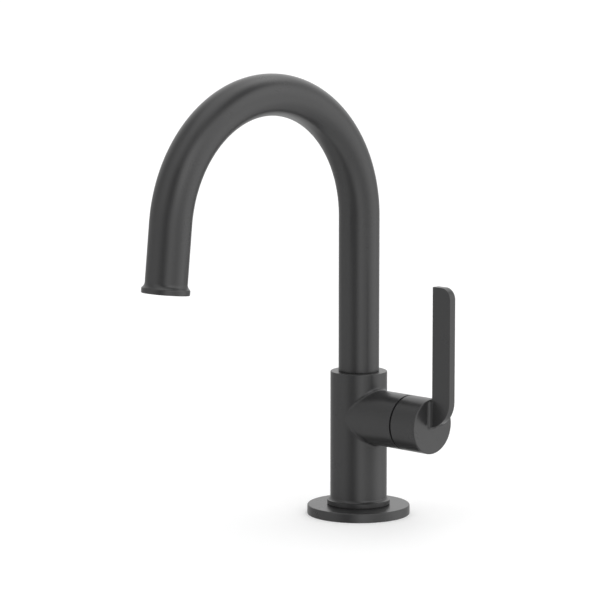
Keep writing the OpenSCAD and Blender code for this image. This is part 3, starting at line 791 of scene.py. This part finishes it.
def grain_group():
    """Surface grain: colour and roughness changed by fine grain and patches, and its height."""
    group, given, out = effect_group("Surface grain", (
        ("Color", "NodeSocketColor", (0.5, 0.5, 0.5, 1)),
        ("Color Change", "NodeSocketFloat", 0.1),
        ("Roughness", "NodeSocketFloat", 0.5),
        ("Roughness Change", "NodeSocketFloat", 0.1),
        ("Grains per mm", "NodeSocketFloat", 3.0),
        ("Patches per mm", "NodeSocketFloat", 0.05),
        ("Stretch", "NodeSocketVector", (1, 1, 1)),
    ), (
        ("Color", "NodeSocketColor"),
        ("Roughness", "NodeSocketFloat"),
        ("Height", "NodeSocketFloat"),
    ))
    where = linked(group, "ShaderNodeTexCoord").outputs["Object"]
    in_mm = linked(
        group, "ShaderNodeVectorMath", {1: [1 / MM] * 3}, {0: where}, operation="MULTIPLY",
    ).outputs[0]
    pulled = linked(group, "ShaderNodeVectorMath", (), {
        0: in_mm, 1: given.outputs["Stretch"],
    }, operation="MULTIPLY").outputs[0]
    fine = linked(group, "ShaderNodeTexNoise", {"Detail": 3.0, "Roughness": 0.6}, {
        "Vector": pulled, "Scale": given.outputs["Grains per mm"],
    }).outputs["Fac"]
    broad = linked(group, "ShaderNodeTexNoise", {"Detail": 2.0, "Roughness": 0.5}, {
        "Vector": pulled, "Scale": given.outputs["Patches per mm"],
    }).outputs["Fac"]

    def counted(operation, values, links):
        """A sum of numbers inside the group."""
        return linked(group, "ShaderNodeMath", values, links, operation=operation).outputs[0]

    fine_part = counted("MULTIPLY", {1: FINE_SHARE}, {0: fine})
    both = counted("MULTIPLY_ADD", {1: 1 - FINE_SHARE}, {0: broad, 2: fine_part})
    centred = counted("SUBTRACT", {1: 0.5}, {0: both})
    tint = counted("MULTIPLY", (), {0: centred, 1: given.outputs["Color Change"]})
    lift = counted("ADD", {1: 1.0}, {0: tint})
    tinted = linked(group, "ShaderNodeVectorMath", (), {
        0: given.outputs["Color"], "Scale": lift,
    }, operation="SCALE").outputs[0]
    rough = counted("MULTIPLY_ADD", (), {
        0: centred, 1: given.outputs["Roughness Change"], 2: given.outputs["Roughness"],
    })
    group.links.new(tinted, out.inputs["Color"])
    group.links.new(rough, out.inputs["Roughness"])
    group.links.new(fine, out.inputs["Height"])


def finish_material(name, base, roughness, depth, grains=3.0, patches=0.1, change=0.12,
                    rough_change=0.1, stretch=(1, 1, 1), metallic=0.0, coat=0.0, specular=0.5):
    """A material of one finish, with its own values in the shared grain group.

    depth is the grain's height. grains and patches are counted per millimetre."""
    material = bpy.data.materials.new(name)
    material.use_nodes = True
    tree = material.node_tree
    shader = tree.nodes["Principled BSDF"]
    shader.inputs["Metallic"].default_value = metallic
    shader.inputs["Coat Weight"].default_value = coat
    shader.inputs["Coat Roughness"].default_value = 0.1
    shader.inputs["Specular IOR Level"].default_value = specular
    grain = tree.nodes.new("ShaderNodeGroup")
    grain.node_tree = bpy.data.node_groups["Surface grain"]
    for socket, value in {
        "Color": (*base, 1), "Color Change": change, "Roughness": roughness,
        "Roughness Change": rough_change, "Grains per mm": grains, "Patches per mm": patches,
        "Stretch": stretch,
    }.items():
        grain.inputs[socket].default_value = value
    bump = linked(tree, "ShaderNodeBump", {"Strength": 1.0, "Distance": depth}, {
        "Height": grain.outputs["Height"],
    })
    tree.links.new(grain.outputs["Color"], shader.inputs["Base Color"])
    tree.links.new(grain.outputs["Roughness"], shader.inputs["Roughness"])
    tree.links.new(bump.outputs["Normal"], shader.inputs["Normal"])


SLOT_MATERIALS = {
    "black_finish": COATING,
    "brass": "Machined brass",
    "steel": "Bright steel",
    "rubber": "Seal rubber",
    "ceramic": "Lapped ceramic",
    "white_plastic": "White plastic",
    "black_plastic": "Black plastic",
}


class FAUCET_OT_finishes(bpy.types.Operator):
    """Makes the finishes and puts them on the CAD pieces"""

    bl_idname = "faucet.finishes"
    bl_label = "Finishes"

    def execute(self, context):
        look = context.scene.faucet_finish
        grain_group()
        finish_material(
            COATING, look.coat, look.coat_roughness, depth=0.002 * MM, grains=MM / look.grain,
            patches=0.04, change=0.15, rough_change=0.05,
        )
        finish_material(
            "Machined brass", look.brass, 0.26, depth=0.004 * MM, grains=2.0, patches=0.05,
            metallic=1.0, stretch=(1, 1, 6),
        )
        finish_material(
            "Bright steel", look.steel, 0.3, depth=0.003 * MM, grains=4.0, metallic=1.0,
            stretch=(1, 1, 4),
        )
        finish_material("Seal rubber", look.rubber, 0.75, depth=0.01 * MM, grains=5.0, specular=0.3)
        finish_material(
            "Lapped ceramic", look.ceramic, 0.18, depth=0.001 * MM, change=0.06, coat=0.3,
        )
        finish_material("White plastic", look.white_plastic, 0.45, depth=0.003 * MM, change=0.05)
        finish_material("Black plastic", look.black_plastic, 0.6, depth=0.006 * MM, specular=0.2)
        slots = {part["node"]: part["material_slot"] for part in frame["record"]["subparts"]}
        for name, node in NODES.items():
            node.data.materials.clear()
            node.data.materials.append(bpy.data.materials[SLOT_MATERIALS[slots[name]]])
        return {"FINISHED"}


class FAUCET_OT_flange(bpy.types.Operator):
    """Base flange with its rounded edge and the gasket's recess"""

    bl_idname = "faucet.flange"
    bl_label = "Flange"

    def execute(self, context):
        flange_skin(context.scene.faucet_body).build("flange_skin", "base", "base_flange")
        return {"FINISHED"}


class FAUCET_OT_body(bpy.types.Operator):
    """Upright body with its side branch and the saddle fillet between them"""

    bl_idname = "faucet.body"
    bl_label = "Body"

    def execute(self, context):
        body_skin(context.scene.faucet_body).build("body_skin", "base", "faucet_body")
        return {"FINISHED"}


class FAUCET_OT_handle(bpy.types.Operator):
    """Hub and blade lever with their fillets"""

    bl_idname = "faucet.handle"
    bl_label = "Handle"

    def execute(self, context):
        body = context.scene.faucet_body
        skin = handle_skin(context.scene.faucet_handle, body.valve_height, body.grub_radius)
        skin.build("handle_skin", "lever", "handle")
        return {"FINISHED"}


class FAUCET_OT_spout(bpy.types.Operator):
    """Gooseneck tube and the flared collar on its end"""

    bl_idname = "faucet.spout"
    bl_label = "Spout"

    def execute(self, context):
        sizes = context.scene.faucet_spout
        tube, end, flow = gooseneck_skin(sizes)
        tube.build("gooseneck_skin", "spout", "spout_tube")
        collar_skin(sizes, end, flow).build("collar_skin", "spout", "outlet_collar")
        return {"FINISHED"}


# Strengths of the soft light from all round at four heights, each as (angle, strength). The angle
# goes round from the camera's side, positive towards the lever
FLOOR_LIGHT = (
    (-180, 1.35), (-160, 1.05), (-140, 0.45), (-100, 0.50), (-60, 0.95), (-38, 0.40), (-20, 0.08),
    (0, 1.25), (25, 1.05), (60, 0.80), (90, 1.25), (120, 0.70), (142, 0.60), (160, 1.10), (180, 1.35),
)
LOW_LIGHT = (
    (-180, 0.65), (-150, 0.45), (-125, 0.45), (-105, 0.60), (-72, 0.88), (-52, 0.80), (-38, 0.36),
    (-22, 0.02), (-8, 0.80), (6, 1.75), (22, 1.15), (40, 0.82), (58, 0.95), (74, 1.55), (96, 1.60),
    (114, 1.00), (136, 0.42), (180, 0.65),
)
MIDDLE_LIGHT = (
    (-180, 1.20), (-145, 0.85), (-120, 0.75), (-100, 0.35), (-80, 0.80), (-58, 1.15), (-40, 1.00),
    (-20, 0.00), (0, 0.05), (20, 2.60), (40, 2.05), (60, 1.35), (82, 2.05), (100, 1.70),
    (120, 0.50), (145, 1.20), (180, 1.20),
)
HIGH_LIGHT = (
    (-180, 1.20), (-145, 0.85), (-115, 0.45), (-90, 0.60), (-60, 1.30), (-30, 1.30), (0, 0.30),
    (25, 0.60), (50, 0.45), (80, 0.05), (100, 0.10), (120, 1.40), (142, 2.50), (160, 1.60), (180, 1.20),
)
TOP_LIGHT = 1.5
# Sines of the elevations between which each light gives way to the next
RISES = ((-0.7, -0.35), (-0.1, 0.4), (0.55, 0.78), (0.85, 1.0))
# Strength that white stands for in the ramps. It is above every strength
BRIGHTEST = 3.0


class FAUCET_OT_studio(bpy.types.Operator):
    """White floor, soft light all round, and the camera at the photograph's angle"""

    bl_idname = "faucet.studio"
    bl_label = "Studio"

    def execute(self, context):
        studio = context.scene.faucet_studio
        self.floor(studio)
        self.world(context.scene, studio)
        self.camera(context.scene, studio)
        context.scene.view_settings.view_transform = "Standard"
        return {"FINISHED"}

    def floor(self, studio):
        """Pale floor that keeps the faucet's soft shadow."""
        half = studio.floor_size / 2
        corners = [(-half, -half, 0), (half, -half, 0), (half, half, 0), (-half, half, 0)]
        mesh = bpy.data.meshes.new("studio_floor")
        mesh.from_pydata(corners, [], [(0, 1, 2, 3)])
        floor = bpy.data.objects.new("studio_floor", mesh)
        bpy.context.scene.collection.objects.link(floor)
        material = bpy.data.materials.new("White floor")
        material.use_nodes = True
        tree = material.node_tree
        shader = tree.nodes["Principled BSDF"]
        shader.inputs["Base Color"].default_value = (*studio.floor_colour, 1)
        shader.inputs["Roughness"].default_value = 0.9
        shader.inputs["Specular IOR Level"].default_value = 0.1
        shader.inputs["Emission Color"].default_value = (1, 1, 1, 1)
        seen = linked(tree, "ShaderNodeLightPath").outputs["Is Camera Ray"]
        fill = linked(
            tree, "ShaderNodeMath", {1: studio.floor_fill}, {0: seen}, operation="MULTIPLY",
        ).outputs[0]
        tree.links.new(fill, shader.inputs["Emission Strength"])
        mesh.materials.append(material)
        # The coating mirrors the soft light below the horizon too, where a real sweep curves away
        floor.visible_glossy = False

    def world(self, scene, studio):
        """Soft light all round, with brighter and darker parts, and plain white to the camera."""
        world = bpy.data.worlds.new("Studio dome")
        world.use_nodes = True
        tree = world.node_tree
        backdrop = tree.nodes["Background"]
        way = linked(tree, "ShaderNodeTexCoord").outputs["Generated"]
        turned = linked(tree, "ShaderNodeMapping", {"Rotation": (0, 0, studio.azimuth)}, {"Vector": way})
        round_about = linked(tree, "ShaderNodeTexGradient", (), {
            "Vector": turned.outputs[0],
        }, gradient_type="RADIAL").outputs["Fac"]
        levels = []
        for stops in (FLOOR_LIGHT, LOW_LIGHT, MIDDLE_LIGHT, HIGH_LIGHT):
            ramp = linked(tree, "ShaderNodeValToRGB", (), {"Fac": round_about})
            ramp.color_ramp.interpolation = "B_SPLINE"
            elements = ramp.color_ramp.elements
            while len(elements) < len(stops):
                elements.new(0.5)
            for element, (angle, level) in zip(elements, stops):
                grey = level / BRIGHTEST
                element.position = 0.5 + angle / 360
                element.color = (grey, grey, grey, 1)
            levels.append(ramp.outputs["Color"])
        top = linked(tree, "ShaderNodeValue").outputs[0]
        top.default_value = TOP_LIGHT / BRIGHTEST
        levels.append(top)
        rise = linked(tree, "ShaderNodeSeparateXYZ", (), {"Vector": way}).outputs["Z"]
        mixed = levels[0]
        for level, (start, end) in zip(levels[1:], RISES):
            upward = linked(tree, "ShaderNodeMapRange", {"From Min": start, "From Max": end}, {
                "Value": rise,
            }, interpolation_type="SMOOTHSTEP").outputs[0]
            mixed = linked(tree, "ShaderNodeMix", (), {
                "Factor": upward, "A": mixed, "B": level,
            }, data_type="RGBA").outputs["Result"]
        shown = linked(tree, "ShaderNodeMath", {1: studio.light * BRIGHTEST}, {
            0: mixed,
        }, operation="MULTIPLY").outputs[0]
        seen = linked(tree, "ShaderNodeLightPath").outputs["Is Camera Ray"]
        strength = linked(tree, "ShaderNodeMapRange", {"To Max": 1.0}, {
            "Value": seen, "To Min": shown,
        }).outputs[0]
        backdrop.inputs["Color"].default_value = (1, 1, 1, 1)
        tree.links.new(strength, backdrop.inputs["Strength"])
        scene.world = world

    def camera(self, scene, studio):
        """Camera at the photograph's angle, looking down a little."""
        data = bpy.data.cameras.new("Camera")
        data.lens = studio.lens
        camera = bpy.data.objects.new("Camera", data)
        a = studio.azimuth
        back = Vector((math.sin(a), -math.cos(a), 0))
        right = Vector((math.cos(a), math.sin(a), 0))
        camera.location = back * studio.distance + right * studio.sideways
        camera.location.z = studio.height
        camera.rotation_euler = (QUARTER_TURN - studio.pitch, 0, a)
        scene.collection.objects.link(camera)
        scene.camera = camera


class FAUCET_PT_panel(bpy.types.Panel):
    """The faucet's pieces and their sizes"""

    bl_idname = "FAUCET_PT_panel"
    bl_label = "Water filter faucet"
    bl_space_type = "VIEW_3D"
    bl_region_type = "UI"
    bl_category = "Faucet"

    def draw(self, context):
        layout = self.layout
        for operator in OPERATORS:
            layout.operator(operator.bl_idname)
        for name in GROUPS:
            group = getattr(context.scene, name)
            box = layout.box()
            box.label(text=name.removeprefix("faucet_").capitalize())
            for size in group.__annotations__:
                box.prop(group, size)


GROUPS = {
    "faucet_body": FaucetBodySizes,
    "faucet_handle": FaucetHandleSizes,
    "faucet_spout": FaucetSpoutSizes,
    "faucet_finish": FaucetFinish,
    "faucet_studio": FaucetStudio,
}
OPERATORS = (
    FAUCET_OT_finishes,
    FAUCET_OT_flange,
    FAUCET_OT_body,
    FAUCET_OT_handle,
    FAUCET_OT_spout,
    FAUCET_OT_studio,
)
CLASSES = (*GROUPS.values(), *OPERATORS, FAUCET_PT_panel)


def register():
    for kind in CLASSES:
        bpy.utils.register_class(kind)
    for name, group in GROUPS.items():
        setattr(bpy.types.Scene, name, PointerProperty(type=group))


def unregister():
    for name in GROUPS:
        delattr(bpy.types.Scene, name)
    for kind in reversed(CLASSES):
        bpy.utils.unregister_class(kind)


def main():
    register()
    bpy.ops.faucet.finishes()
    bpy.ops.faucet.flange()
    bpy.ops.faucet.body()
    bpy.ops.faucet.handle()
    bpy.ops.faucet.spout()
    bpy.ops.faucet.studio()
    bpy.context.view_layer.update()


if __name__ == "__main__":
    main()
